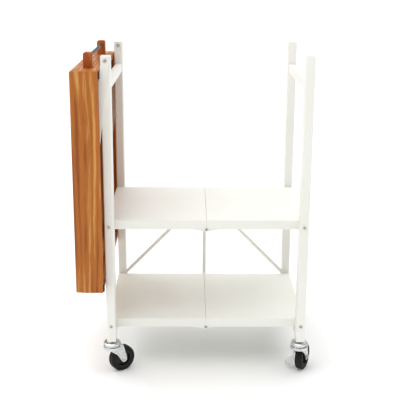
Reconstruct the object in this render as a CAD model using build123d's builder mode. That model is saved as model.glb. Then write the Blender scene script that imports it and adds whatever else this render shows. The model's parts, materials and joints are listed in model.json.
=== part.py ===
from build123d import *
from math import atan2, cos, degrees, hypot, radians, sin
import os

# Folding kitchen cart: two side frames on swivel casters, joined by two shelves that fold
# upwards in the middle, and a wooden top that hangs on swing arms outside the left frame.
# Millimetres, +Z up. Build frame: X = 0 midway between the side frames, Y = 0 at the front
# faces of the front posts, Z = 0 on the floor. The parts are exported about ORIGIN, the
# middle of the whole cart's footprint.

# ---- driving dimensions ----
CART_W = 560.0            # across the outer faces of the posts
CART_D = 460.0            # front faces of front posts to rear faces of rear posts
POST_W, POST_D, POST_WALL, POST_R = 25.0, 40.0, 1.5, 3.0
CASTER_H = 101.5          # floor to the underside of a post
POST_TOP = 903.5
UPPER_PIVOT_Z, LOWER_PIVOT_Z = 440.5, 148.0
RAIL_H, RAIL_D = 25.0, 15.0
PIVOT_ABOVE_RAIL = 18.0   # post pivot above the rail's bottom edge; the centre pin is on that edge
TRAY_L, TRAY_W, TRAY_H = 607.0, 520.0, 74.0   # along Z, along Y and along X as it hangs
TRAY_TOP_Z = 868.5
TRAY_GAP = 4.5            # tray rim to the posts
BOARD = 18.0
TRAY_PIVOT_DEPTH = 35.0   # tray pivot to the panel's inner face
ARM_PIVOT_Z = 892.9
SHEET = 1.2
GAP = 0.3                 # running clearance between faces of pieces that move

# ---- worked-out places ----
POST_X = CART_W / 2 - POST_W / 2
REAR_Y = CART_D - POST_D
MID_Y = CART_D / 2
POST_H = POST_TOP - CASTER_H
RAIL_FRONT_Y = POST_D + 1.5
RAIL_REAR_Y = CART_D - POST_D - 6.0 - RAIL_D
RAIL_TIP_X = POST_X + 11.5
UPPER_CROSS_Z, LOWER_CROSS_Z = 812.5, CASTER_H + 0.5   # undersides of the side frames' cross rails
UPPER_CROSS_H, LOWER_CROSS_H, CROSS_W = 25.0, 20.0, 20.0

# bolts: shank, head and nut
BOLT_R, HEAD_R, HEAD_H, NUT_R, NUT_H = 3.0, 5.2, 2.6, 5.6, 4.0
HINGE_HEAD_R, PIVOT_HEAD_R = 4.8, 6.0
HOLE_R = BOLT_R + 0.15
DRIVE_W = 1.1             # width and depth of the cross in a bolt's head

# centre hinges: a round ear under the end of each half rail, in planes side by side
EAR_R, EAR_REACH, EAR_T = 7.5, 43.0, 2.5
EAR_SWEEP_R = 12.0        # cut in the neighbour's rail that the ear swings through
EAR_INSET = (1.7, 4.6)    # left and right ear behind the rail's outer face

# braces and centre link, behind the rear rails
BRACE_BELOW_PIN = 11.0    # tops of the braces below the upper centre pin
BRACE_TIP = 9.0           # tops of the braces to each side of the link's middle
BRACE_W, BRACE_T = 10.0, 2.0
SLIDER_H, SLIDER_BELOW_TIP = 14.0, 9.0
LEFT_BRACE_Y = RAIL_REAR_Y + RAIL_D + 0.8
RIGHT_BRACE_Y = LEFT_BRACE_Y + BRACE_T + 0.4
LINK_Y, LINK_W, LINK_T = CART_D - POST_D + 3.0, 10.0, 3.0

# swing arms and wooden top
ARM_W, ARM_T = 21.0, 4.0
ARM_OFF_POST = 1.2
TRAY_RIM_X = -CART_W / 2 - TRAY_GAP
TRAY_BACK_X = TRAY_RIM_X - TRAY_H
PANEL_IN_X = TRAY_BACK_X + BOARD
TRAY_BOTTOM_Z = TRAY_TOP_Z - TRAY_L
TRAY_FRONT_Y = MID_Y - TRAY_W / 2
TRAY_REAR_Y = MID_Y + TRAY_W / 2
TRAY_REST_GAP = 0.5       # panel to post tops when the top is in use
BAR_X = TRAY_BACK_X + 41.0
BAR_Z = TRAY_TOP_Z + 27.0
BAR_R = 5.0
BRACKET_W, BRACKET_T, BRACKET_H = 24.0, 25.0, 41.0
BRACKET_SPAN = 380.0      # outer face to outer face
BAR_SOCKET = 14.0         # depth of the blind holes that hold the bar


def tray_pivot_from_top():
    """Distance from the tray's upper end to its pivot, so that the same arms reach both places.

    Hanging, the pivot lies (dx, top - a) from the arm bolt; in use it lies (reach - a, dz).
    Both are one arm length away, which is linear in a once the squares are equated.
    """
    dx = PANEL_IN_X + TRAY_PIVOT_DEPTH + POST_X
    drop = ARM_PIVOT_Z - TRAY_TOP_Z
    reach = POST_X + TRAY_L / 2
    dz = POST_TOP + TRAY_REST_GAP - TRAY_PIVOT_DEPTH - ARM_PIVOT_Z
    return (reach**2 + dz**2 - dx**2 - drop**2) / (2 * (reach + drop))


TRAY_PIVOT_X = PANEL_IN_X + TRAY_PIVOT_DEPTH
TRAY_PIVOT_Z = TRAY_TOP_Z - tray_pivot_from_top()
ARM_LEN = hypot(TRAY_PIVOT_X + POST_X, ARM_PIVOT_Z - TRAY_PIVOT_Z)

# casters: local +X points along the trail, from the stem to the wheel
WHEEL_R, WHEEL_W, HUB_R, TRAIL = 37.5, 22.0, 25.0, 30.0
FORK_IN, LEG_T = 12.6, 2.6
AXLE_R = 3.5
UPPER_RACE_R, NECK_R, CROWN_R = 24.5, 20.5, 25.0
UPPER_RACE_Z = CASTER_H - 13.0    # underside of the stem's race
CROWN_Z = CASTER_H - 22.0         # underside of the fork's top plate
CROWN_T = 2.6
CASTERS = {
    "front_left": (-POST_X, POST_D / 2, 34.0, False),
    "front_right": (POST_X, POST_D / 2, 64.0, True),
    "rear_left": (-POST_X, CART_D - POST_D / 2, 38.0, False),
    "rear_right": (POST_X, CART_D - POST_D / 2, 66.0, True),
}

# brake lever: a flat blade square to the trail, on a pin outside the fork's left leg
LEVER_ALONG = 8.0                 # middle of its barrel, along the trail
LEVER_PIVOT_OUT, LEVER_PIVOT_Z = FORK_IN + LEG_T + 4.0, 55.0
LEVER_BARREL_R, LEVER_BARREL_L = 3.2, 11.0
BLADE_T = 2.4
PAD_W, PAD_T = 11.0, 2.0          # foot pad bent back from the blade's upper edge
BLADE = (
    (0.0, 3.2),
    (3.2, 0.0),
    (2.2, -14.0),
    (20.0, -26.0),
    (23.0, -30.0),
    (23.0, -40.0),
    (19.5, -44.5),
    (11.0, -43.5),
    (2.0, -36.0),
    (-2.0, -24.0),
    (-3.2, 0.0),
)                                 # outline from the pivot: outwards, up


def facing(x, y, z, outward):
    """A plane on a bolt's seat: its normal points out of the front (-1) or the rear (+1)."""
    return Plane(origin=(x, y, z), x_dir=(-outward, 0, 0), z_dir=(0, outward, 0))


def bolt(seat, grip, shank_r=BOLT_R, head_r=HEAD_R, nut=True):
    """Cross-head bolt seated on a plane, with a hex nut of its own past the grip length."""
    with BuildPart() as screw:
        with BuildSketch(seat):
            Circle(head_r)
        extrude(amount=HEAD_H, taper=28)
        with BuildSketch(seat.offset(HEAD_H)):
            Rectangle(head_r, DRIVE_W)
            Rectangle(DRIVE_W, head_r)
        extrude(amount=-DRIVE_W, mode=Mode.SUBTRACT)
        with BuildSketch(seat):
            Circle(shank_r)
        extrude(amount=-(grip + (NUT_H + 1.5 if nut else 0)))
        if nut:
            with BuildSketch(seat.offset(-grip - 0.05)):
                RegularPolygon(NUT_R, 6)
                Circle(shank_r + 0.05, mode=Mode.SUBTRACT)
            extrude(amount=-NUT_H)
    return screw.part


def group(pieces):
    """Several separate solids as one sub-part."""
    with BuildPart() as together:
        add(pieces)
    return together.part


def post(x, y, front, arm_hole):
    """Rectangular steel tube with its pivot holes through front and rear walls."""
    with BuildPart() as tube:
        with BuildSketch(Plane.XY.offset(CASTER_H)):
            with Locations((x, y)):
                RectangleRounded(POST_W, POST_D, POST_R)
                RectangleRounded(
                    POST_W - 2 * POST_WALL,
                    POST_D - 2 * POST_WALL,
                    POST_R - POST_WALL,
                    mode=Mode.SUBTRACT,
                )
        extrude(amount=POST_H)
        outward = -1 if front else 1
        heights = [UPPER_PIVOT_Z, LOWER_PIVOT_Z] + ([ARM_PIVOT_Z] if arm_hole else [])
        with Locations(*[facing(x, y + outward * POST_D / 2, z, outward) for z in heights]):
            Hole(HOLE_R)
    return tube.part


def cross_rail(x, z_low, height):
    """Hollow rail welded between the front and the rear post of one side frame."""
    with BuildPart() as rail:
        with BuildSketch(Plane.XZ.offset(-POST_D)):
            with Locations((x, z_low + height / 2)):
                RectangleRounded(CROSS_W, height, 2.5)
                RectangleRounded(CROSS_W - 3, height - 3, 1.0, mode=Mode.SUBTRACT)
        extrude(amount=-(REAR_Y - POST_D))
    return rail.part


def post_caps(x):
    """Plastic plugs in the tops of the two posts of one side."""
    with BuildPart() as caps:
        for y in (POST_D / 2, CART_D - POST_D / 2):
            with BuildSketch(Plane.XY.offset(POST_TOP - 6)):
                with Locations((x, y)):
                    RectangleRounded(POST_W - 3.4, POST_D - 3.4, 1.2)
                    RectangleRounded(POST_W - 7, POST_D - 7, 1.0, mode=Mode.SUBTRACT)
            extrude(amount=3)
            with BuildSketch(Plane.XY.offset(POST_TOP - 3)):
                with Locations((x, y)):
                    RectangleRounded(POST_W - 3.2, POST_D - 3.2, 1.3)
            extrude(amount=2.8)
    return caps.part


def shelf_fasteners(x):
    """Bolts and nuts of the four shelf pivots in one side frame."""
    grips = ((0, -1, RAIL_FRONT_Y + RAIL_D), (CART_D, 1, CART_D - RAIL_REAR_Y))
    heights = (UPPER_PIVOT_Z, LOWER_PIVOT_Z)
    return group([bolt(facing(x, y, z, out), grip) for z in heights for y, out, grip in grips])


def arm_fasteners():
    """Bolts and nuts on which the two swing arms turn, at the tops of the left posts."""
    over = ARM_T + 1.5
    seats = ((-over, -1), (CART_D + over, 1))
    return group(
        [
            bolt(facing(-POST_X, y, ARM_PIVOT_Z, out), over + POST_D, head_r=PIVOT_HEAD_R)
            for y, out in seats
        ]
    )


def shelf_panel(side, pivot_z):
    """Steel sheet of one half shelf, flanged down at the centre seam and at the post end."""
    top = pivot_z - PIVOT_ABOVE_RAIL + RAIL_H
    x_in, x_out = side * GAP, side * RAIL_TIP_X
    length, middle = abs(x_out - x_in), (x_in + x_out) / 2
    y_mid = (RAIL_FRONT_Y + RAIL_REAR_Y + RAIL_D) / 2
    depth = RAIL_REAR_Y + RAIL_D - RAIL_FRONT_Y - 2.4
    inner_depth = RAIL_REAR_Y - RAIL_FRONT_Y - RAIL_D - 0.6
    with BuildPart() as panel:
        with BuildSketch(Plane.XY.offset(top)):
            with Locations((middle, y_mid)):
                RectangleRounded(length, depth, 2.0)
        extrude(amount=SHEET)
        for x, inward in ((x_in, side), (x_out, -side)):
            with BuildSketch(Plane.XY.offset(top)):
                with Locations((x + inward * SHEET / 2, y_mid)):
                    Rectangle(SHEET, inner_depth)
            extrude(amount=-12)
        rim = panel.faces().sort_by(Axis.Z)[-1].edges()
        fillet(rim, 0.5)
    return panel.part


def shelf_rail(side, pivot_z, y0, ear_y, other_ear_y):
    """Hollow rail under one half shelf, with its hinge ear below the centre end."""
    bottom = pivot_z - PIVOT_ABOVE_RAIL
    x_in, x_out = side * GAP, side * RAIL_TIP_X
    with BuildPart() as rail:
        with BuildSketch(Plane.YZ.offset(min(x_in, x_out))):
            with Locations((y0 + RAIL_D / 2, bottom + RAIL_H / 2)):
                RectangleRounded(RAIL_D, RAIL_H, 2.0)
                RectangleRounded(RAIL_D - 3, RAIL_H - 3, 1.0, mode=Mode.SUBTRACT)
        extrude(amount=abs(x_out - x_in))
        # clearance for the pin and for the neighbour's ear, which swings up past this end
        with BuildSketch(Plane.XZ.offset(-y0)):
            with Locations((0, bottom)):
                Circle(HOLE_R)
        extrude(amount=-RAIL_D, mode=Mode.SUBTRACT)
        with BuildSketch(Plane.XZ.offset(-other_ear_y + 0.2)):
            with Locations((0, bottom)):
                Circle(EAR_SWEEP_R)
        extrude(amount=-(EAR_T + 0.4), mode=Mode.SUBTRACT)
        # the ear: a shallow taper under the rail, round about the pin
        with BuildSketch(Plane.XZ.offset(-ear_y)):
            with BuildLine():
                Polyline(
                    (side * EAR_REACH, bottom + 3),
                    (side * EAR_REACH, bottom),
                    (side * EAR_R / 2, bottom - EAR_R * 0.86),
                    (side * EAR_R / 2, bottom + 3),
                    close=True,
                )
            make_face()
            with Locations((0, bottom)):
                Circle(EAR_R)
                Circle(HOLE_R, mode=Mode.SUBTRACT)
        extrude(amount=-EAR_T)
        # hole for the post pivot
        with Locations(facing(side * POST_X, y0, pivot_z, -1)):
            Hole(HOLE_R)
    return rail.part


def hinge_fasteners(pin_z, link_reach):
    """Front and rear centre hinge bolts of one shelf; the rear one also carries the link."""
    front = bolt(facing(0, RAIL_FRONT_Y - 0.2, pin_z, -1), RAIL_D + 0.4, head_r=HINGE_HEAD_R)
    grip = link_reach - RAIL_REAR_Y + 0.2
    rear = bolt(facing(0, link_reach, pin_z, 1), grip, head_r=HINGE_HEAD_R)
    return group([front, rear])


def centre_link():
    """Flat bar that ties the two centre hinges at the rear; the slider runs on it."""
    low = LOWER_PIVOT_Z - PIVOT_ABOVE_RAIL
    high = UPPER_PIVOT_Z - PIVOT_ABOVE_RAIL
    with BuildPart() as link:
        with BuildSketch(Plane.XZ.offset(-LINK_Y)):
            with Locations((0, (low + high) / 2)):
                SlotOverall(high - low + LINK_W + 2, LINK_W, rotation=90)
            with Locations((0, low), (0, high)):
                Circle(HOLE_R, mode=Mode.SUBTRACT)
        extrude(amount=-LINK_T)
    return link.part


def brace_slider():
    """Sleeve that runs on the centre link just under the tops of the two braces."""
    z = UPPER_PIVOT_Z - PIVOT_ABOVE_RAIL - BRACE_BELOW_PIN - SLIDER_BELOW_TIP
    with BuildPart() as slider:
        with BuildSketch(Plane.XY.offset(z - SLIDER_H / 2)):
            with Locations((0, LINK_Y + LINK_T / 2)):
                RectangleRounded(LINK_W + 4.6, LINK_T + 3.4, 1.0)
                Rectangle(LINK_W + 2 * GAP, LINK_T + 2 * GAP, mode=Mode.SUBTRACT)
        extrude(amount=SLIDER_H)
    return slider.part


def brace(side, y0):
    """Flat diagonal bar from the lower rear post pivot up to the middle of the cart."""
    foot = (side * POST_X, LOWER_PIVOT_Z)
    head = (side * BRACE_TIP, UPPER_PIVOT_Z - PIVOT_ABOVE_RAIL - BRACE_BELOW_PIN)
    length = hypot(head[0] - foot[0], head[1] - foot[1])
    slope = degrees(atan2(head[1] - foot[1], head[0] - foot[0]))
    with BuildPart() as bar:
        with BuildSketch(Plane.XZ.offset(-y0)):
            with Locations(((head[0] + foot[0]) / 2, (head[1] + foot[1]) / 2)):
                SlotCenterToCenter(length, BRACE_W, rotation=slope)
            with Locations(foot):
                Circle(HOLE_R, mode=Mode.SUBTRACT)
        extrude(amount=-BRACE_T)
    return bar.part


def swing_arm(y0):
    """Flat steel arm from the post-top bolt to the tray's pivot."""
    slope = degrees(atan2(ARM_PIVOT_Z - TRAY_PIVOT_Z, -POST_X - TRAY_PIVOT_X))
    with BuildPart() as arm:
        with BuildSketch(Plane.XZ.offset(-y0)):
            with Locations(((-POST_X + TRAY_PIVOT_X) / 2, (ARM_PIVOT_Z + TRAY_PIVOT_Z) / 2)):
                SlotCenterToCenter(ARM_LEN, ARM_W, rotation=slope)
            with Locations((-POST_X, ARM_PIVOT_Z), (TRAY_PIVOT_X, TRAY_PIVOT_Z)):
                Circle(HOLE_R, mode=Mode.SUBTRACT)
        extrude(amount=-ARM_T)
        chamfer(arm.faces().sort_by(Axis.Y)[0].outer_wire().edges(), 0.6)
        chamfer(arm.faces().sort_by(Axis.Y)[-1].outer_wire().edges(), 0.6)
    return arm.part


def tray_panel():
    """The wooden top itself, standing on edge outside the left frame."""
    with BuildPart() as panel:
        with BuildSketch(Plane.YZ.offset(TRAY_BACK_X)):
            with Locations((MID_Y, TRAY_TOP_Z - TRAY_L / 2)):
                Rectangle(TRAY_W, TRAY_L)
        extrude(amount=BOARD)
        fillet(panel.faces().sort_by(Axis.X)[0].edges(), 4.0)
        fillet(panel.edges().filter_by(Axis.X), 3.0)
    return panel.part


def tray_side_aprons():
    """Long boards along the tray's front and rear edges, bored for the pivot bolts."""
    with BuildPart() as aprons:
        for y0 in (TRAY_FRONT_Y, TRAY_REAR_Y - BOARD):
            with BuildSketch(Plane.XZ.offset(-y0)):
                with Locations(((PANEL_IN_X + TRAY_RIM_X) / 2, TRAY_TOP_Z - TRAY_L / 2)):
                    Rectangle(TRAY_RIM_X - PANEL_IN_X, TRAY_L)
            extrude(amount=-BOARD)
        fillet(aprons.faces().sort_by(Axis.X)[-2:].edges().filter_by(Axis.Z), 1.5)
        for y0, outward in ((TRAY_FRONT_Y + BOARD, 1), (TRAY_REAR_Y - BOARD, -1)):
            with Locations(facing(TRAY_PIVOT_X, y0, TRAY_PIVOT_Z, outward)):
                Hole(BOLT_R + 0.02, 14)
    return aprons.part


def tray_end_aprons():
    """Short boards along the tray's two ends, between the side aprons."""
    with BuildPart() as aprons:
        for z0 in (TRAY_BOTTOM_Z, TRAY_TOP_Z - BOARD):
            with BuildSketch(Plane.XY.offset(z0)):
                with Locations(((PANEL_IN_X + TRAY_RIM_X) / 2, MID_Y)):
                    Rectangle(TRAY_RIM_X - PANEL_IN_X, TRAY_W - 2 * BOARD)
            extrude(amount=BOARD)
        fillet(aprons.faces().sort_by(Axis.X)[-2:].edges().filter_by(Axis.Y), 1.5)
    return aprons.part


def tray_bumpers():
    """Rubber pads on the four corners of the tray's rim."""
    with BuildPart() as bumpers:
        for y in (TRAY_FRONT_Y + BOARD / 2, TRAY_REAR_Y - BOARD / 2):
            for z in (TRAY_BOTTOM_Z + 11, TRAY_TOP_Z - 11):
                with BuildSketch(Plane.YZ.offset(TRAY_RIM_X)):
                    with Locations((y, z)):
                        RectangleRounded(13, 20, 3)
                extrude(amount=3.5, taper=10)
    return bumpers.part


def tray_pivot_fasteners():
    """Shoulder bolts into the side aprons, each through an arm and a spacer washer."""
    pieces = []
    for arm_y, apron_y, outward in (
        (GAP - ARM_OFF_POST, TRAY_FRONT_Y + BOARD, 1),
        (CART_D + ARM_OFF_POST - GAP, TRAY_REAR_Y - BOARD, -1),
    ):
        grip = abs(arm_y - apron_y)
        pieces.append(bolt(facing(TRAY_PIVOT_X, arm_y, TRAY_PIVOT_Z, outward), grip + 12, nut=False))
        with BuildPart() as spacer:
            with BuildSketch(facing(TRAY_PIVOT_X, apron_y, TRAY_PIVOT_Z, outward)):
                Circle(8)
                Circle(BOLT_R + 0.05, mode=Mode.SUBTRACT)
            extrude(amount=grip - ARM_T - 0.5)
        pieces.append(spacer.part)
    return group(pieces)


def bar_brackets():
    """Two wooden posts on the tray's upper end that hold the towel bar."""
    with BuildPart() as brackets:
        for y0 in (MID_Y - BRACKET_SPAN / 2, MID_Y + BRACKET_SPAN / 2 - BRACKET_T):
            with BuildSketch(Plane.XZ.offset(-y0)):
                with Locations((BAR_X, TRAY_TOP_Z + BRACKET_H / 2)):
                    Rectangle(BRACKET_W, BRACKET_H)
            extrude(amount=-BRACKET_T)
        tops = brackets.faces().filter_by(Axis.Z).sort_by(Axis.Z)[-2:]
        fillet(tops.edges().filter_by(Axis.Y), 6.0)
        for y0, outward in (
            (MID_Y - BRACKET_SPAN / 2 + BRACKET_T, 1),
            (MID_Y + BRACKET_SPAN / 2 - BRACKET_T, -1),
        ):
            with Locations(facing(BAR_X, y0, BAR_Z, outward)):
                Hole(BAR_R + 0.05, BAR_SOCKET)
    return brackets.part


def towel_bar():
    """Steel bar let into blind holes in the two brackets."""
    length = BRACKET_SPAN - 2 * BRACKET_T + 2 * (BAR_SOCKET - 0.5)
    with BuildPart() as bar:
        with BuildSketch(Plane.XZ.offset(-(MID_Y - length / 2))):
            with Locations((BAR_X, BAR_Z)):
                Circle(BAR_R)
        extrude(amount=-length)
        chamfer(bar.edges().filter_by(GeomType.CIRCLE), 0.8)
    return bar.part


def stem_plane(name):
    """Frame of one caster: origin on the floor under the stem, +X along its trail."""
    x, y, yaw, _ = CASTERS[name]
    return Plane(origin=(x, y, 0), x_dir=(cos(radians(yaw)), sin(radians(yaw)), 0), z_dir=(0, 0, 1))


def side_plane(name, across):
    """Vertical plane along a caster's trail, a distance across it to its left."""
    x, y, yaw, _ = CASTERS[name]
    a = radians(yaw)
    return Plane(
        origin=(x - across * sin(a), y + across * cos(a), 0),
        x_dir=(cos(a), sin(a), 0),
        z_dir=(sin(a), -cos(a), 0),
    )


def caster_stems(names):
    """Stems with their foot plugs and round upper races, fixed in the ends of two posts."""
    with BuildPart() as stems:
        for name in names:
            x, y, _, _ = CASTERS[name]
            at = Plane((x, y, 0))
            with BuildSketch(at.offset(CASTER_H)):
                RectangleRounded(POST_W - 3.2, POST_D - 3.2, 1.3)
            extrude(amount=14)
            with BuildSketch(at.offset(UPPER_RACE_Z + 2)):
                Circle(11)
            extrude(amount=CASTER_H - UPPER_RACE_Z - 2)
            with BuildSketch(at.offset(UPPER_RACE_Z)):
                Circle(UPPER_RACE_R)
            extrude(amount=3.8)
            with BuildSketch(at.offset(UPPER_RACE_Z + 3.8)):
                Circle(UPPER_RACE_R)
                Circle(13, mode=Mode.SUBTRACT)
            extrude(amount=2.6, taper=40)
    return stems.part


def fork_leg(name, across):
    """One tapered leg of a fork, with a raised rib down its outer face."""
    outward = 1 if across > 0 else -1
    with BuildPart() as leg:
        with BuildSketch(side_plane(name, across + LEG_T)):
            with BuildLine():
                Polyline(
                    (-19, CROWN_Z + CROWN_T),
                    (28, CROWN_Z + CROWN_T),
                    (TRAIL + 8.5, WHEEL_R + 6),
                    (TRAIL + 8.5, WHEEL_R - 4),
                    (TRAIL + 4, WHEEL_R - 9),
                    (TRAIL - 3, WHEEL_R - 9),
                    (TRAIL - 8, WHEEL_R - 4),
                    (8, CROWN_Z - 24),
                    (-17, CROWN_Z - 5),
                    close=True,
                )
            make_face()
            with Locations((TRAIL, WHEEL_R)):
                Circle(AXLE_R + 0.1, mode=Mode.SUBTRACT)
        extrude(amount=LEG_T)
        fillet(leg.edges().filter_by(lambda e: abs(e.length - LEG_T) < 0.01), 2.0)
        face = across + LEG_T if outward > 0 else across
        with BuildSketch(side_plane(name, face)):
            with Locations((14.5, CROWN_Z - 16)):
                SlotOverall(33, 6.5, rotation=-62)
        extrude(amount=-1.1 * outward, taper=25)
    return leg.part


def caster_fork(name):
    """Pressed steel swivel fork: neck, crown plate with a front lip, and two tapered legs."""
    at = stem_plane(name)
    legs = [fork_leg(name, across) for across in (FORK_IN, -FORK_IN - LEG_T)]
    lugs = [lever_lugs(name)] if CASTERS[name][3] else []
    width = 2 * (FORK_IN + LEG_T)
    with BuildPart() as fork:
        with BuildSketch(at.offset(CROWN_Z)):
            Circle(CROWN_R)
            with Locations((4.5, 0)):
                RectangleRounded(47, width, 4)
        extrude(amount=CROWN_T)
        with BuildSketch(at.offset(CROWN_Z + CROWN_T)):
            Circle(NECK_R)
        extrude(amount=UPPER_RACE_Z - 0.5 - CROWN_Z - CROWN_T)
        with BuildSketch(at.offset(CROWN_Z - 4.5)):
            Circle(CROWN_R)
            Circle(CROWN_R - 2.4, mode=Mode.SUBTRACT)
            with Locations((CROWN_R - 6, 0)):
                Rectangle(2 * CROWN_R, 2 * CROWN_R + 2, mode=Mode.SUBTRACT)
        extrude(amount=4.5)
        add(legs + lugs)
    return fork.part


def lever_plane(name, along):
    """Plane square to the trail at a distance along it: x runs outward, on the lever's side."""
    x, y, yaw, _ = CASTERS[name]
    a = radians(yaw)
    out = (-sin(a), cos(a), 0)
    return Plane(
        origin=(x + along * cos(a), y + along * sin(a), 0),
        x_dir=out,
        z_dir=(cos(a), sin(a), 0),
    )


def lever_lugs(name):
    """Two ears on the outside of a fork leg that carry the brake lever's pin."""
    half = LEVER_BARREL_L / 2
    with BuildPart() as lugs:
        for along in (LEVER_ALONG - half - 2.4, LEVER_ALONG + half + 0.4):
            with BuildSketch(lever_plane(name, along)):
                with BuildLine():
                    Polyline(
                        (FORK_IN + 1, LEVER_PIVOT_Z + 8),
                        (LEVER_PIVOT_OUT, LEVER_PIVOT_Z + 4.5),
                        (LEVER_PIVOT_OUT + 4.2, LEVER_PIVOT_Z),
                        (LEVER_PIVOT_OUT, LEVER_PIVOT_Z - 4.5),
                        (FORK_IN + 1, LEVER_PIVOT_Z - 3),
                        close=True,
                    )
                make_face()
            extrude(amount=2.0)
    return lugs.part


def brake_lever(name):
    """Pressed steel side lever: barrel on its pin, drooping blade and bent-back foot pad."""
    with BuildPart() as lever:
        with BuildSketch(lever_plane(name, LEVER_ALONG - LEVER_BARREL_L / 2)):
            with Locations((LEVER_PIVOT_OUT, LEVER_PIVOT_Z)):
                Circle(LEVER_BARREL_R)
        extrude(amount=LEVER_BARREL_L)
        with BuildSketch(lever_plane(name, LEVER_ALONG - LEVER_BARREL_L / 2)):
            with BuildLine():
                Polyline(
                    *[(LEVER_PIVOT_OUT + out, LEVER_PIVOT_Z + up) for out, up in BLADE],
                    close=True,
                )
            make_face()
        extrude(amount=BLADE_T)
        (x0, z0), (x1, z1) = BLADE[2], BLADE[3]
        slope = degrees(atan2(z1 - z0, x1 - x0))
        length = hypot(x1 - x0, z1 - z0)
        with BuildSketch(lever_plane(name, LEVER_ALONG - LEVER_BARREL_L / 2)):
            with Locations(
                (LEVER_PIVOT_OUT + (x0 + x1) / 2 + 2, LEVER_PIVOT_Z + (z0 + z1) / 2 - 2.4)
            ):
                Rectangle(length - 4, PAD_T, rotation=slope)
        extrude(amount=PAD_W)
    return lever.part


def caster_tyre(name):
    """Solid rubber tread ring with rounded shoulders."""
    with BuildPart() as tyre:
        with BuildSketch(side_plane(name, WHEEL_W / 2)):
            with Locations((TRAIL, WHEEL_R)):
                Circle(WHEEL_R)
                Circle(HUB_R, mode=Mode.SUBTRACT)
        extrude(amount=WHEEL_W)
        outer = tyre.edges().filter_by(GeomType.CIRCLE).group_by(SortBy.RADIUS)[-1]
        fillet(outer, 4.0)
    return tyre.part


def caster_hub(name):
    """Moulded wheel centre: bore, web with round windows, and rim."""
    with BuildPart() as hub:
        with BuildSketch(side_plane(name, WHEEL_W / 2 - 1)):
            with Locations((TRAIL, WHEEL_R)):
                Circle(HUB_R - 0.02)
                Circle(HUB_R - 3, mode=Mode.SUBTRACT)
        extrude(amount=WHEEL_W - 2)
        with BuildSketch(side_plane(name, 2)):
            with Locations((TRAIL, WHEEL_R)):
                Circle(HUB_R - 2)
                Circle(AXLE_R + 0.3, mode=Mode.SUBTRACT)
        extrude(amount=4)
        with BuildSketch(side_plane(name, FORK_IN - 0.4)):
            with Locations((TRAIL, WHEEL_R)):
                Circle(8)
                Circle(AXLE_R + 0.3, mode=Mode.SUBTRACT)
        extrude(amount=2 * (FORK_IN - 0.4))
    return hub.part


def caster_axle(name):
    """Axle bolt through the fork legs; its head is on the brake lever's side where there is one."""
    x, y, yaw, braked = CASTERS[name]
    a = radians(yaw)
    side = 1 if braked else -1
    reach = FORK_IN + LEG_T
    across = (-side * sin(a), side * cos(a))
    seat = Plane(
        origin=(
            x + TRAIL * cos(a) + reach * across[0],
            y + TRAIL * sin(a) + reach * across[1],
            WHEEL_R,
        ),
        x_dir=(cos(a), sin(a), 0),
        z_dir=(across[0], across[1], 0),
    )
    return bolt(seat, 2 * reach, shank_r=AXLE_R, head_r=PIVOT_HEAD_R)


def build():
    """All sub-parts in the build frame, by node name."""
    parts = {}
    upper_pin = UPPER_PIVOT_Z - PIVOT_ABOVE_RAIL
    lower_pin = LOWER_PIVOT_Z - PIVOT_ABOVE_RAIL
    for side, name in ((-1, "left"), (1, "right")):
        x = side * POST_X
        parts[f"{name}_front_post"] = post(x, POST_D / 2, True, side < 0)
        parts[f"{name}_rear_post"] = post(x, CART_D - POST_D / 2, False, side < 0)
        parts[f"{name}_upper_cross_rail"] = cross_rail(x, UPPER_CROSS_Z, UPPER_CROSS_H)
        parts[f"{name}_lower_cross_rail"] = cross_rail(x, LOWER_CROSS_Z, LOWER_CROSS_H)
        parts[f"{name}_post_caps"] = post_caps(x)
        parts[f"{name}_shelf_fasteners"] = shelf_fasteners(x)
        parts[f"{name}_caster_stems"] = caster_stems((f"front_{name}", f"rear_{name}"))
    parts["arm_fasteners"] = arm_fasteners()
    for level, pivot_z in (("upper", UPPER_PIVOT_Z), ("lower", LOWER_PIVOT_Z)):
        for side, name in ((-1, "left"), (1, "right")):
            half = f"{level}_{name}"
            parts[f"{half}_panel"] = shelf_panel(side, pivot_z)
            for end, y0, sign in (("front", RAIL_FRONT_Y, 1), ("rear", RAIL_REAR_Y, -1)):
                face = y0 if sign > 0 else y0 + RAIL_D - EAR_T
                ears = [face + sign * inset for inset in EAR_INSET]
                mine, other = ears if side < 0 else ears[::-1]
                parts[f"{half}_{end}_rail"] = shelf_rail(side, pivot_z, y0, mine, other)
    link_reach = LINK_Y + LINK_T + 0.3
    parts["upper_hinge_fasteners"] = hinge_fasteners(upper_pin, link_reach)
    parts["lower_hinge_fasteners"] = hinge_fasteners(lower_pin, link_reach)
    parts["centre_link"] = centre_link()
    parts["brace_slider"] = brace_slider()
    parts["left_brace"] = brace(-1, LEFT_BRACE_Y)
    parts["right_brace"] = brace(1, RIGHT_BRACE_Y)
    parts["front_swing_arm"] = swing_arm(-ARM_OFF_POST - ARM_T)
    parts["rear_swing_arm"] = swing_arm(CART_D + ARM_OFF_POST)
    parts["tray_panel"] = tray_panel()
    parts["tray_side_aprons"] = tray_side_aprons()
    parts["tray_end_aprons"] = tray_end_aprons()
    parts["tray_bumpers"] = tray_bumpers()
    parts["tray_pivot_fasteners"] = tray_pivot_fasteners()
    parts["towel_bar_brackets"] = bar_brackets()
    parts["towel_bar"] = towel_bar()
    for name, (_, _, _, braked) in CASTERS.items():
        parts[f"{name}_fork"] = caster_fork(name)
        parts[f"{name}_tyre"] = caster_tyre(name)
        parts[f"{name}_hub"] = caster_hub(name)
        parts[f"{name}_axle"] = caster_axle(name)
        if braked:
            parts[f"{name}_brake_lever"] = brake_lever(name)
    return parts


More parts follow.
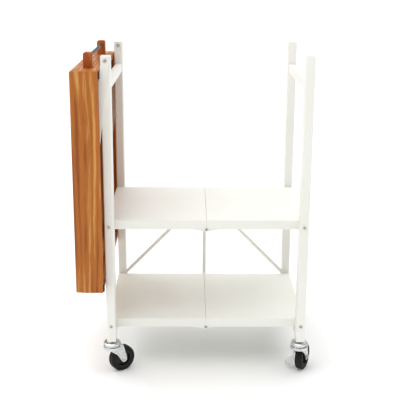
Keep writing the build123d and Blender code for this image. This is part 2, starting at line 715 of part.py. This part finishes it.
def footprint_middle(parts):
    """Middle of the whole cart's footprint in the build frame."""
    boxes = [p.bounding_box() for p in parts.values()]
    x = (min(b.min.X for b in boxes) + max(b.max.X for b in boxes)) / 2
    y = (min(b.min.Y for b in boxes) + max(b.max.Y for b in boxes)) / 2
    return x, y


def export(parts, origin):
    """Write every node, moved so that the footprint's middle is at X = Y = 0."""
    os.makedirs("parts", exist_ok=True)
    for name, shape in parts.items():
        placed = shape.moved(Location((-origin[0], -origin[1], 0)))
        placed.label = name
        export_step(placed, f"parts/{name}.step")


PARTS = build()
ORIGIN = footprint_middle(PARTS)
export(PARTS, ORIGIN)
print(f"{len(PARTS)} nodes, origin at X {ORIGIN[0]:.4f}, Y {ORIGIN[1]:.4f} of the build frame")
print(f"tray pivot X {TRAY_PIVOT_X:.4f} Z {TRAY_PIVOT_Z:.4f}, arm {ARM_LEN:.4f}")
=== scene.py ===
import json
import math

import bmesh
import bpy
from mathutils import Matrix, Vector


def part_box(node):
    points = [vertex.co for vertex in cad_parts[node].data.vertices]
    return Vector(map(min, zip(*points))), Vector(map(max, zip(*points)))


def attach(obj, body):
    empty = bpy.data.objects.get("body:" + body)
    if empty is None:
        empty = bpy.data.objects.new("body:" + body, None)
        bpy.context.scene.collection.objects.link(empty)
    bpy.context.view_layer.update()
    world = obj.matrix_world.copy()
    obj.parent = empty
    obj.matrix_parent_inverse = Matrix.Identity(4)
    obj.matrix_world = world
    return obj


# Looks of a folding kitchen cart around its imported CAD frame. Metres, +Z up, the cart's
# front towards -Y. The wooden top hangs outside the left frame, at -X.

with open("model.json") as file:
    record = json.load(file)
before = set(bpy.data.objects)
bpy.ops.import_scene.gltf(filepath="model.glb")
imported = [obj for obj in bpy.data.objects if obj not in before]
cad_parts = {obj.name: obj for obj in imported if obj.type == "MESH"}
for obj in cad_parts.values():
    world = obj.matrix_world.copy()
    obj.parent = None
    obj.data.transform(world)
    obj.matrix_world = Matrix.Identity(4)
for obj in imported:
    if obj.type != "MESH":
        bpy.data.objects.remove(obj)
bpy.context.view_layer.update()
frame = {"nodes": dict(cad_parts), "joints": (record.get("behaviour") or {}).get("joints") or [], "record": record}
NODES = frame["nodes"]


# ---------------------------------------------------------------- materials

def srgb(r, g, b):
    """Linear colour of an 8-bit sRGB triple."""
    def lin(c):
        c /= 255.0
        return c / 12.92 if c <= 0.04045 else ((c + 0.055) / 1.055) ** 2.4
    return (lin(r), lin(g), lin(b), 1.0)


class Graph:
    """Small helper that adds and links the nodes of one material."""

    def __init__(self, name):
        self.material = bpy.data.materials.new(name)
        self.material.use_nodes = True
        self.tree = self.material.node_tree
        self.tree.nodes.clear()
        self.out = self.tree.nodes.new("ShaderNodeOutputMaterial")
        self.bsdf = self.tree.nodes.new("ShaderNodeBsdfPrincipled")
        self.link(self.bsdf.outputs["BSDF"], self.out.inputs["Surface"])
        self.coords = self.tree.nodes.new("ShaderNodeTexCoord").outputs["Object"]

    def link(self, a, b):
        self.tree.links.new(a, b)

    def put(self, socket, value):
        if hasattr(value, "is_linked"):
            self.link(value, socket)
        else:
            socket.default_value = value

    def mapped(self, scale):
        node = self.tree.nodes.new("ShaderNodeMapping")
        self.link(self.coords, node.inputs["Vector"])
        node.inputs["Scale"].default_value = scale
        return node.outputs["Vector"]

    def noise(self, scale, detail=4.0, rough=0.55, vector=None, distortion=0.0):
        node = self.tree.nodes.new("ShaderNodeTexNoise")
        self.put(node.inputs["Vector"], vector or self.coords)
        node.inputs["Scale"].default_value = scale
        node.inputs["Detail"].default_value = detail
        node.inputs["Roughness"].default_value = rough
        node.inputs["Distortion"].default_value = distortion
        return node.outputs["Fac"]

    def voronoi(self, scale, output="Distance"):
        node = self.tree.nodes.new("ShaderNodeTexVoronoi")
        self.link(self.coords, node.inputs["Vector"])
        node.inputs["Scale"].default_value = scale
        return node.outputs[output]

    def wave(self, scale, distortion, detail, vector, axis="X", detail_scale=1.0):
        node = self.tree.nodes.new("ShaderNodeTexWave")
        node.wave_type = "BANDS"
        node.bands_direction = axis
        self.put(node.inputs["Vector"], vector)
        node.inputs["Scale"].default_value = scale
        node.inputs["Distortion"].default_value = distortion
        node.inputs["Detail"].default_value = detail
        node.inputs["Detail Scale"].default_value = detail_scale
        return node.outputs["Fac"]

    def ramp(self, fac, stops):
        node = self.tree.nodes.new("ShaderNodeValToRGB")
        elements = node.color_ramp.elements
        while len(elements) < len(stops):
            elements.new(0.5)
        for element, (position, colour) in zip(elements, stops):
            element.position = position
            if not hasattr(colour, "__len__"):
                colour = (colour, colour, colour, 1.0)
            element.color = colour
        self.link(fac, node.inputs["Fac"])
        return node.outputs["Color"]

    def remap(self, fac, low, high, from_low=0.0, from_high=1.0):
        node = self.tree.nodes.new("ShaderNodeMapRange")
        self.link(fac, node.inputs["Value"])
        node.inputs["From Min"].default_value = from_low
        node.inputs["From Max"].default_value = from_high
        node.inputs["To Min"].default_value = low
        node.inputs["To Max"].default_value = high
        return node.outputs["Result"]

    def mix(self, fac, a, b):
        node = self.tree.nodes.new("ShaderNodeMix")
        node.data_type = "RGBA"
        self.put(node.inputs[0], fac)
        self.put(node.inputs[6], a)
        self.put(node.inputs[7], b)
        return node.outputs[2]

    def math(self, operation, a, b=0.0):
        node = self.tree.nodes.new("ShaderNodeMath")
        node.operation = operation
        self.put(node.inputs[0], a)
        self.put(node.inputs[1], b)
        return node.outputs[0]

    def bump(self, height, strength, distance):
        node = self.tree.nodes.new("ShaderNodeBump")
        self.link(height, node.inputs["Height"])
        node.inputs["Strength"].default_value = strength
        node.inputs["Distance"].default_value = distance
        return node.outputs["Normal"]

    def finish(self, colour, roughness, normal=None, metallic=0.0, coat=0.0, specular=0.5):
        self.put(self.bsdf.inputs["Base Color"], colour)
        self.put(self.bsdf.inputs["Roughness"], roughness)
        self.bsdf.inputs["Metallic"].default_value = metallic
        self.bsdf.inputs["Specular IOR Level"].default_value = specular
        self.bsdf.inputs["Coat Weight"].default_value = coat
        self.bsdf.inputs["Coat Roughness"].default_value = 0.18
        if normal is not None:
            self.link(normal, self.bsdf.inputs["Normal"])
        return self.material


def white_enamel():
    """Powder coat: faint orange peel, slow drifts of warm grey, dulled spots of handling."""
    g = Graph("white_enamel")
    drift = g.noise(3.5, 3.0, 0.5)
    scuff = g.noise(38.0, 6.0, 0.7, distortion=0.6)
    base = g.ramp(drift, [(0.3, srgb(238, 238, 230)), (0.7, srgb(245, 245, 239))])
    dulled = g.ramp(scuff, [(0.60, 0.0), (0.78, 0.35)])
    colour = g.mix(dulled, base, srgb(222, 221, 212))
    peel = g.noise(620.0, 2.0, 0.5)
    rough = g.remap(scuff, 0.30, 0.46, 0.35, 0.75)
    return g.finish(colour, rough, g.bump(peel, 0.10, 0.0004), specular=0.5)


def wood(name, mid, light, dark, deep, stave, along="Z", gloss=0.46):
    """Lacquered solid wood: staves of slightly different tone, cathedral rings and pores."""
    g = Graph(name)
    stretch = {"Z": (1.0, 1.0, 0.085), "Y": (1.0, 0.085, 1.0)}[along]
    grain = g.mapped(stretch)
    # slow bands of early and late wood, bent by a low noise so that they close into tongues
    warp = g.noise(5.0, 2.0, 0.5, vector=grain)
    bands = g.tree.nodes.new("ShaderNodeVectorMath")
    bands.operation = "MULTIPLY_ADD"
    lift = g.tree.nodes.new("ShaderNodeCombineXYZ")
    g.link(warp, lift.inputs[0])
    g.link(warp, lift.inputs[1])
    g.link(lift.outputs[0], bands.inputs[0])
    bands.inputs[1].default_value = (0.30, 0.30, 0.0)
    g.link(grain, bands.inputs[2])
    rings = g.wave(15.0, 7.0, 3.0, bands.outputs[0], "X", 1.4)
    rings_y = g.wave(13.0, 7.0, 3.0, bands.outputs[0], "Y", 1.3)
    rings = g.math("MULTIPLY", g.math("ADD", rings, rings_y), 0.5)
    streak = g.noise(95.0, 5.0, 0.65, vector=grain)
    figure = g.math("ADD", g.math("MULTIPLY", rings, 0.45), g.math("MULTIPLY", streak, 0.55))
    colour = g.ramp(figure, [(0.30, dark), (0.44, mid), (0.56, mid), (0.72, light)])
    # staves: cells that are wide across the grain and endless along it
    cell = {"Z": (1 / stave, 1 / stave, 0.9), "Y": (1 / stave, 0.9, 1 / stave)}[along]
    floor_node = g.tree.nodes.new("ShaderNodeVectorMath")
    floor_node.operation = "FLOOR"
    g.link(g.mapped(cell), floor_node.inputs[0])
    tone = g.tree.nodes.new("ShaderNodeTexWhiteNoise")
    g.link(floor_node.outputs[0], tone.inputs["Vector"])
    shade = g.remap(tone.outputs["Value"], 0.88, 1.10)
    hsv = g.tree.nodes.new("ShaderNodeHueSaturation")
    g.link(colour, hsv.inputs["Color"])
    g.link(shade, hsv.inputs["Value"])
    pores_vector = g.mapped({"Z": (1.0, 1.0, 0.03), "Y": (1.0, 0.03, 1.0)}[along])
    pores = g.noise(420.0, 3.0, 0.6, vector=pores_vector)
    pore_mask = g.ramp(pores, [(0.60, 0.0), (0.72, 0.55)])
    colour = g.mix(pore_mask, hsv.outputs["Color"], deep)
    rough = g.remap(streak, gloss - 0.05, gloss + 0.10)
    height = g.math("SUBTRACT", g.math("MULTIPLY", figure, 0.25), pore_mask)
    return g.finish(colour, rough, g.bump(height, 0.16, 0.0005), coat=0.05, specular=0.28)


def brushed(name, colour, lines=(1.0, 1.0, 1.0), rough=0.34, spread=0.16):
    """Metal with fine scratches along one direction and a cloudy variation of its dullness."""
    g = Graph(name)
    scratch = g.noise(900.0, 2.0, 0.6, vector=g.mapped(lines))
    cloud = g.noise(45.0, 4.0, 0.6)
    tint = g.ramp(cloud, [(0.3, [c * 0.80 for c in colour[:3]] + [1.0]), (0.7, colour)])
    both = g.math("ADD", g.math("MULTIPLY", scratch, 0.6), g.math("MULTIPLY", cloud, 0.4))
    return g.finish(
        tint, g.remap(both, rough, rough + spread, 0.3, 0.7), g.bump(scratch, 0.12, 0.0002), metallic=1.0
    )


def zinc():
    """Bright zinc plate: small crystals of differing brightness, slight tarnish in patches."""
    g = Graph("caster_zinc")
    crystal = g.voronoi(420.0, output="Color")
    value = g.tree.nodes.new("ShaderNodeRGBToBW")
    g.link(crystal, value.inputs[0])
    spangle = g.ramp(value.outputs[0], [(0.1, srgb(196, 199, 198)), (0.9, srgb(232, 234, 233))])
    tarnish = g.noise(60.0, 5.0, 0.65)
    mask = g.ramp(tarnish, [(0.55, 0.0), (0.8, 0.45)])
    colour = g.mix(mask, spangle, srgb(150, 150, 142))
    rough = g.remap(tarnish, 0.20, 0.42, 0.3, 0.75)
    return g.finish(colour, rough, g.bump(tarnish, 0.10, 0.0004), metallic=1.0)


def rubber(name, colour, dust, rough=0.72, grain=1400.0):
    """Black rubber or moulded plastic: fine grain, grey bloom in patches."""
    g = Graph(name)
    bloom = g.noise(90.0, 5.0, 0.65)
    mask = g.ramp(bloom, [(0.48, 0.0), (0.75, 0.6)])
    tint = g.mix(mask, colour, dust)
    fine = g.bump(g.noise(grain, 2.0, 0.5), 0.2, 0.0003)
    return g.finish(tint, g.remap(bloom, rough - 0.1, rough + 0.1), fine, specular=0.35)


def plastic(name, colour, rough=0.5):
    """Moulded plastic with a fine spark-eroded texture."""
    g = Graph(name)
    texture = g.voronoi(1500.0)
    cloud = g.noise(30.0, 3.0, 0.5)
    tint = g.ramp(cloud, [(0.3, [c * 0.93 for c in colour[:3]] + [1.0]), (0.7, colour)])
    return g.finish(tint, g.remap(cloud, rough, rough + 0.12), g.bump(texture, 0.15, 0.0003))


# middle, light, dark and pore colours of each wood
TOP_TONES = (srgb(180, 104, 34), srgb(214, 152, 78), srgb(150, 78, 24), srgb(112, 56, 18))
BRACKET_TONES = (srgb(166, 84, 28), srgb(192, 112, 46), srgb(140, 66, 20), srgb(104, 46, 14))
TOP_STAVE, BRACKET_STAVE = 0.045, 0.05
ALONG_Y = (1.0, 0.03, 1.0)         # scratches drawn out from front to rear

MATERIALS = {
    "white_enamel": white_enamel(),
    "wood_top": wood("wood_top", *TOP_TONES, TOP_STAVE),
    "wood_bracket": wood("wood_bracket", *BRACKET_TONES, BRACKET_STAVE),
    "bar_steel": brushed("bar_steel", srgb(96, 93, 89), ALONG_Y, 0.24),
    "fastener_steel": brushed("fastener_steel", srgb(206, 204, 198), rough=0.28),
    "caster_zinc": zinc(),
    "black_tyre": rubber("black_tyre", srgb(18, 18, 18), srgb(38, 37, 35)),
    "black_hub": plastic("black_hub", srgb(24, 24, 24), 0.45),
    "cap_plastic": plastic("cap_plastic", srgb(226, 226, 221)),
    "bumper_rubber": rubber("bumper_rubber", srgb(30, 30, 30), srgb(54, 54, 52)),
}

for part in frame["record"]["subparts"]:
    node = NODES[part["node"]]
    node.data.materials.clear()
    node.data.materials.append(MATERIALS[part["material_slot"]])

# the end aprons lie across the tray, so their grain runs from front to rear
NODES["tray_end_aprons"].data.materials[0] = wood(
    "wood_top_across", *TOP_TONES, TOP_STAVE, along="Y"
)


# ---------------------------------------------------------------- detail pieces

BEAD_R, BEAD_STEP = 0.0013, 0.0012          # radius of a weld bead, spacing of its rings
BEAD_BACK = 0.002                           # a bead stops this far short of a rail's corner
BEAD_IN = 0.0006                            # from a rail's end inwards to its beads
RIPPLE, RIPPLE_TURN, BEAD_TIP = 0.18, 2.1, 0.35
OFF_AXIS = Vector((0.31, 0.52, 0.79))       # parallel to no bead
TYRE_RINGS = ((0.0318, 0.0006), (0.0288, 0.0004))   # radius of each ring and of its section
FLANK = 0.0107                              # from the middle of a tyre to its rings
RECESS_IN = 0.0006                          # from a bolt head's face to the dark cross
CROSS_REACH, CROSS_HALF, CROSS_DEPTH = 0.0022, 0.00045, 0.0004


def new_piece(name, bm, material, body):
    """Turn a bmesh into an object that rides on one of the cart's bodies."""
    for face in bm.faces:
        face.smooth = True
    mesh = bpy.data.meshes.new(name)
    bm.to_mesh(mesh)
    bm.free()
    mesh.materials.append(MATERIALS[material])
    piece = bpy.data.objects.new(name, mesh)
    bpy.context.scene.collection.objects.link(piece)
    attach(piece, body)


def circle(bm, centre, across, other, radius, sides):
    """Vertices of a ring, which turns from one direction towards the other."""
    turns = [2 * math.pi * j / sides for j in range(sides)]
    return [
        bm.verts.new(centre + across * (radius * math.cos(t)) + other * (radius * math.sin(t)))
        for t in turns
    ]


def bead(bm, start, stop, sides=8):
    """A straight weld bead between two points, rippled and narrowed at its tips."""
    steps = int((stop - start).length / BEAD_STEP)
    along = (stop - start).normalized()
    across = along.cross(OFF_AXIS).normalized()
    other = along.cross(across)
    rings = []
    for k in range(steps + 1):
        radius = BEAD_R * (1 - RIPPLE + RIPPLE * math.sin(k * RIPPLE_TURN))
        if k in (0, steps):
            radius *= BEAD_TIP
        centre = start + (stop - start) * (k / steps)
        rings.append(circle(bm, centre, across, other, radius, sides))
    for a, b in zip(rings, rings[1:]):
        for j in range(sides):
            bm.faces.new((a[j], a[(j + 1) % sides], b[(j + 1) % sides], b[j]))
    bm.faces.new(rings[0][::-1])
    bm.faces.new(rings[-1])


def add_welds():
    """Fillet welds where the cross rails meet the posts."""
    for side in ("left", "right"):
        for level in ("upper", "lower"):
            low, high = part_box(f"{side}_{level}_cross_rail")
            bm = bmesh.new()
            for y in (low.y + BEAD_IN, high.y - BEAD_IN):
                for x in (low.x, high.x):
                    bead(bm, Vector((x, y, low.z + BEAD_BACK)), Vector((x, y, high.z - BEAD_BACK)))
                for z in (low.z, high.z):
                    bead(bm, Vector((low.x + BEAD_BACK, y, z)), Vector((high.x - BEAD_BACK, y, z)))
            new_piece(f"{side}_{level}_welds", bm, "white_enamel", f"{side}_frame")


def torus(bm, centre, axis, radius, minor, around=72, sides=10):
    """A closed ring about an axis."""
    across = axis.orthogonal().normalized()
    other = axis.cross(across)
    rings = []
    for k in range(around):
        turn = 2 * math.pi * k / around
        out = across * math.cos(turn) + other * math.sin(turn)
        rings.append(circle(bm, centre + out * radius, out, axis, minor, sides))
    for a, b in zip(rings, rings[1:] + rings[:1]):
        for j in range(sides):
            bm.faces.new((a[j], b[j], b[(j + 1) % sides], a[(j + 1) % sides]))


def add_wheel_rings():
    """Two moulding rings on both flanks of each tyre."""
    for joint in frame["joints"]:
        if not joint["name"].endswith("_roll"):
            continue
        name = joint["name"][: -len("_roll")]
        centre, axis = Vector(joint["pos_m"]), Vector(joint["axis"]).normalized()
        bm = bmesh.new()
        for side in (-1, 1):
            for radius, minor in TYRE_RINGS:
                torus(bm, centre + axis * (side * FLANK), axis, radius, minor)
        bmesh.ops.recalc_face_normals(bm, faces=bm.faces)
        new_piece(f"{name}_tyre_rings", bm, "black_tyre", f"{name}_wheel")


def add_cross(bm, centre):
    """A flat plus sign that faces the front."""
    reach, half = CROSS_REACH, CROSS_HALF
    outline = []
    for sx, sz in ((1, 1), (-1, 1), (-1, -1), (1, -1)):
        corner = [(sx * reach, sz * half), (sx * half, sz * half), (sx * half, sz * reach)]
        outline += corner if sx * sz > 0 else corner[::-1]
    front = [bm.verts.new(centre + Vector((x, 0.0, z))) for x, z in outline]
    back = [bm.verts.new(centre + Vector((x, CROSS_DEPTH, z))) for x, z in outline]
    bm.faces.new(front)
    bm.faces.new(back[::-1])
    for i in range(len(front)):
        j = (i + 1) % len(front)
        bm.faces.new((front[i], back[i], back[j], front[j]))
    bmesh.ops.recalc_face_normals(bm, faces=bm.faces)


def add_drive_shadows():
    """Dark crosses set in the drive recesses of the front bolt heads: painted shade of the recesses, to make them
    read.
    """
    at = {joint["name"]: joint["pos_m"] for joint in frame["joints"] if "pos_m" in joint}
    lower_right = (at["upper_right_pivot"][0], 0.0, at["lower_left_pivot"][2])
    heads = {
        "left_shelf": ("left_shelf_fasteners", "left_frame", (at["fold"], at["lower_left_pivot"])),
        "right_shelf": ("right_shelf_fasteners", "right_frame", (at["upper_right_pivot"], lower_right)),
        "upper_hinge": ("upper_hinge_fasteners", "upper_left_half", (at["upper_centre_hinge"],)),
        "lower_hinge": ("lower_hinge_fasteners", "lower_left_half", (at["lower_centre_hinge"],)),
        "arm": ("arm_fasteners", "left_frame", (at["arms"],)),
    }
    for name, (node, body, places) in heads.items():
        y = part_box(node)[0].y + RECESS_IN
        bm = bmesh.new()
        for x, _, z in places:
            add_cross(bm, Vector((x, y, z)))
        new_piece(f"{name}_drive_shadows", bm, "black_hub", body)


add_welds()
add_wheel_rings()
add_drive_shadows()


# ---------------------------------------------------------------- camera, light and floor

FOCAL_SHARE = 2.170125     # focal length over the width of the picture
SENSOR = 36.0
CLIP_END, FLOOR_HALF = 200.0, 45.0
TILT, YAW, ROLL = math.radians(15.399), math.radians(0.645), math.radians(0.315)
CAMERA_AT = Vector((-0.0183, -2.5029, 1.1432))


def add_camera():
    """The camera, aimed by its tilt and yaw and then rolled about its own axis."""
    forward = Vector((math.sin(YAW) * math.cos(TILT), math.cos(YAW) * math.cos(TILT), -math.sin(TILT)))
    right = Vector((math.cos(YAW), -math.sin(YAW), 0.0))
    up = right.cross(forward)
    right, up = (
        math.cos(ROLL) * right + math.sin(ROLL) * up,
        -math.sin(ROLL) * right + math.cos(ROLL) * up,
    )
    turn = Matrix((right, up, -forward)).transposed()
    data = bpy.data.cameras.new("camera")
    data.sensor_width = SENSOR
    data.lens = SENSOR * FOCAL_SHARE
    data.clip_end = CLIP_END
    camera = bpy.data.objects.new("camera", data)
    camera.matrix_world = Matrix.Translation(CAMERA_AT) @ turn.to_4x4()
    bpy.context.scene.collection.objects.link(camera)
    bpy.context.scene.camera = camera


def area_light(name, at, look, size, power):
    """A rectangular soft box that faces a point."""
    data = bpy.data.lights.new(name, "AREA")
    data.shape = "RECTANGLE"
    data.size, data.size_y = size
    data.energy = power
    light = bpy.data.objects.new(name, data)
    light.location = at
    light.rotation_euler = (Vector(look) - Vector(at)).to_track_quat("-Z", "Y").to_euler()
    bpy.context.scene.collection.objects.link(light)


def sky_light(name, direction, strength, spread):
    """Even light over the whole floor, as wide and soft as a studio ceiling bank."""
    data = bpy.data.lights.new(name, "SUN")
    data.energy = strength
    data.angle = math.radians(spread)
    light = bpy.data.objects.new(name, data)
    light.rotation_euler = Vector(direction).to_track_quat("-Z", "Y").to_euler()
    bpy.context.scene.collection.objects.link(light)


def add_floor():
    g = Graph("floor_paper")
    cloud = g.noise(0.8, 3.0, 0.5)
    colour = g.ramp(cloud, [(0.3, (0.94, 0.94, 0.94, 1)), (0.7, (0.97, 0.97, 0.97, 1))])
    grain = g.noise(300.0, 2.0, 0.5)
    material = g.finish(colour, 0.85, g.bump(grain, 0.02, 0.0005), specular=0.1)
    mesh = bpy.data.meshes.new("floor")
    bm = bmesh.new()
    bmesh.ops.create_grid(bm, x_segments=4, y_segments=4, size=FLOOR_HALF)
    bm.to_mesh(mesh)
    bm.free()
    mesh.materials.append(material)
    floor = bpy.data.objects.new("floor", mesh)
    bpy.context.scene.collection.objects.link(floor)


def add_world():
    world = bpy.data.worlds.new("studio")
    world.use_nodes = True
    background = world.node_tree.nodes["Background"]
    background.inputs["Color"].default_value = (1.0, 1.0, 1.0, 1.0)
    background.inputs["Strength"].default_value = 0.44
    bpy.context.scene.world = world


add_camera()
add_world()
add_floor()
sky_light("overhead", (0.22, -0.20, -1.0), 2.85, 110.0)
area_light("left_front", (-2.2, -2.4, 2.2), (0.0, 0.0, 0.5), (1.8, 1.8), 9)
bpy.context.scene.view_settings.view_transform = "Standard"
